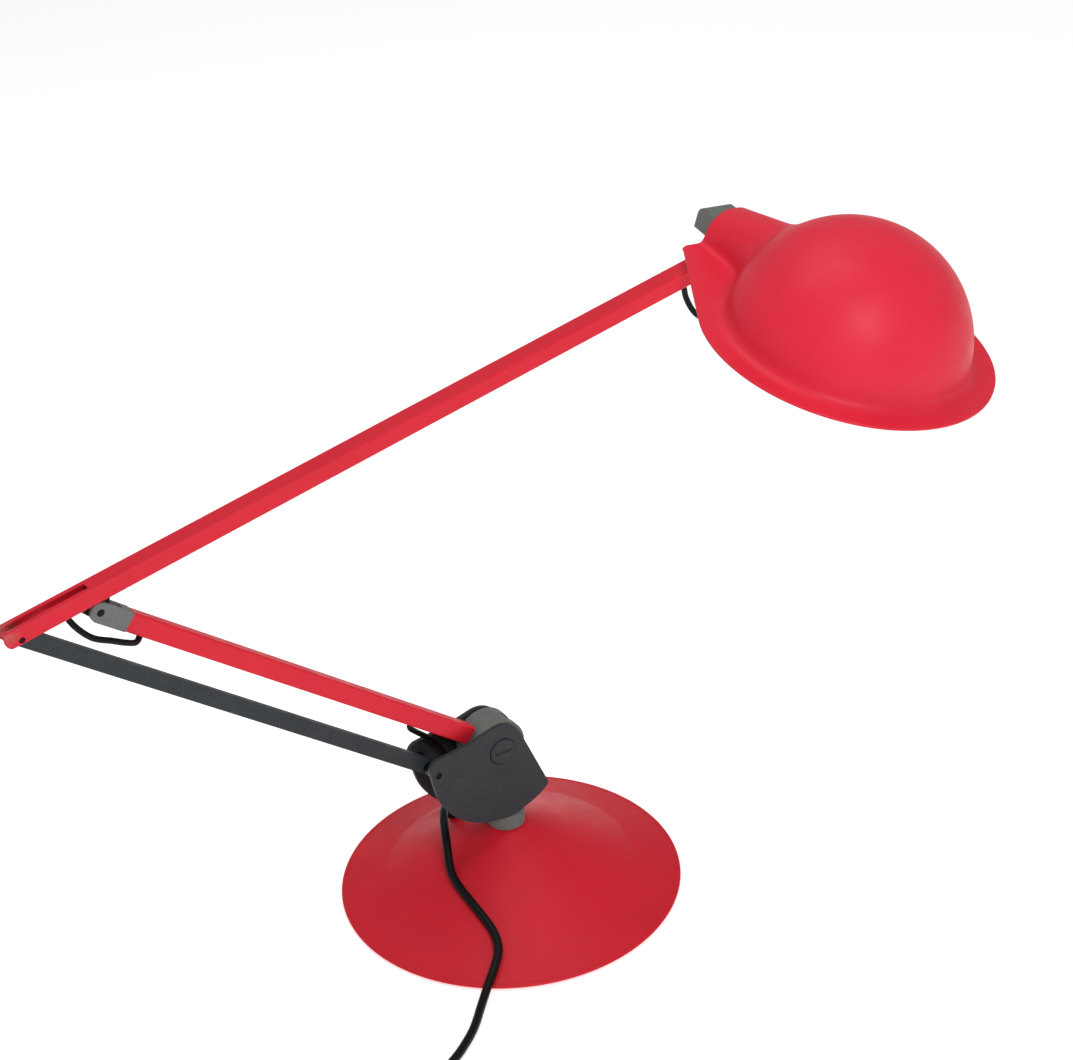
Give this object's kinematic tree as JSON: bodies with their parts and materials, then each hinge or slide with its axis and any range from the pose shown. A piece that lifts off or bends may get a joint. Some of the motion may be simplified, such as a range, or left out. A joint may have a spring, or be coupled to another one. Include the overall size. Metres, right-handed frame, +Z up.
{
  "type": "desk lamp",
  "caption": "Articulated architect desk lamp: round weighted base, grey swivel knuckle, red square-tube arms with a parallel bar, and a swivelling red domed shade.",
  "frame": {"origin": "middle of the underside of the base, on the table", "axes": "+Z up; the arms lie in the XZ plane with the upper arm reaching towards +X and the elbow towards -X"},
  "size_m": [0.6318, 0.3642, 0.4792],
  "materials": {
    "red_paint": "satin red stove enamel with a faint orange-peel",
    "dark_grey": "matt charcoal grey paint",
    "light_grey": "matt mid grey paint",
    "steel": "bright zinc-plated steel",
    "iron": "bare cast iron, dull",
    "felt": "thin black foot pad, matt",
    "black_plastic": "black flexible PVC and moulded plastic, slightly glossy",
    "white_plastic": "off-white thermoset plastic",
    "brass": "plain brass",
    "glass": "frosted opal glass"
  },
  "bodies": {
    "root": {"foot_pad": "felt", "ballast_plate": "iron", "base_shell": "red_paint", "bearing_bush": "white_plastic", "cord_gland": "black_plastic", "power_cord": "black_plastic", "cord_coil": "black_plastic", "cord_end": "black_plastic", "plug_relief": "black_plastic", "plug_body": "black_plastic", "plug_pin_left": "brass", "plug_pin_right": "brass"},
    "swivel_post": {"swivel_post": "light_grey", "spindle_nut": "steel", "thrust_washer": "steel", "pivot_axle": "steel", "spring_washer": "steel", "axle_nut": "steel"},
    "knuckle": {"near_cheek": "dark_grey", "far_cheek": "dark_grey", "knuckle_bridge": "dark_grey", "bar_pin": "steel", "near_bar_spacer": "black_plastic", "far_bar_spacer": "black_plastic", "near_friction_washer": "black_plastic", "far_friction_washer": "black_plastic", "knuckle_cable": "black_plastic"},
    "tension_screw": {"tension_screw": "dark_grey"},
    "lower_arm": {"lower_arm_inner_end": "light_grey", "lower_arm_tube": "red_paint", "lower_arm_fork": "light_grey", "elbow_pin": "steel", "elbow_cable": "black_plastic"},
    "parallel_bar": {"parallel_bar": "dark_grey"},
    "upper_arm": {"upper_arm_tube": "red_paint", "elbow_lug": "black_plastic", "tail_pin": "steel", "arm_end_fork": "dark_grey", "tilt_pin": "steel", "head_cable": "black_plastic"},
    "swivel_stem": {"swivel_stem": "light_grey", "stem_retaining_ring": "steel"},
    "shade": {"shade_shell": "red_paint", "neck_block": "light_grey", "lamp_holder": "white_plastic", "bulb_cap": "brass", "bulb_glass": "glass"},
    "switch_rocker": {"switch_rocker": "black_plastic"}
  },
  "joints": [
    {"name": "base_swivel", "type": "hinge", "parent": "root", "child": "swivel_post", "pos_m": [0, 0, 0.05], "axis": [0, 0, 1], "range_deg": [-170, 170]},
    {"name": "knuckle_tilt", "type": "hinge", "parent": "swivel_post", "child": "knuckle", "pos_m": [-0.008, 0, 0.122], "axis": [0, 1, 0], "range_deg": [-25, 25], "deforming": ["knuckle_cable"]},
    {"name": "tension_screw_turn", "type": "hinge", "parent": "knuckle", "child": "tension_screw", "pos_m": [-0.008, 0, 0.122], "axis": [0, 1, 0], "range_deg": [-90, 90]},
    {"name": "lower_arm_swing", "type": "hinge", "parent": "knuckle", "child": "lower_arm", "pos_m": [-0.008, 0, 0.122], "axis": [0, 1, 0], "range_deg": [-14, 50], "deforming": ["knuckle_cable"]},
    {"name": "parallel_bar_swing", "type": "hinge", "parent": "knuckle", "child": "parallel_bar", "pos_m": [-0.05827, 0, 0.12376], "axis": [0, 1, 0], "range_deg": [-14, 50]},
    {"name": "elbow_hinge", "type": "hinge", "parent": "lower_arm", "child": "upper_arm", "pos_m": [-0.2681, 0, 0.32993], "axis": [0, 1, 0], "range_deg": [-50, 14], "deforming": ["elbow_cable"]},
    {"name": "head_tilt", "type": "hinge", "parent": "upper_arm", "child": "swivel_stem", "pos_m": [0.205, 0, 0.425], "axis": [0, 1, 0], "range_deg": [-2, 40], "deforming": ["head_cable"]},
    {"name": "head_swivel", "type": "hinge", "parent": "swivel_stem", "child": "shade", "pos_m": [0.205, 0, 0.425], "axis": [0.1578, 0.0011, 0.9875], "range_deg": [-10, 180], "deforming": ["head_cable"]},
    {"name": "switch_rocking", "type": "hinge", "parent": "shade", "child": "switch_rocker", "pos_m": [0.20631, 0.02363, 0.44068], "axis": [0.9862, 0.05, -0.1577], "range_deg": [0, 10]}
  ],
  "couplings": [
    {"joint": "parallel_bar_swing", "follows": "lower_arm_swing", "ratio": 1},
    {"joint": "elbow_hinge", "follows": "lower_arm_swing", "ratio": -1}
  ]
}
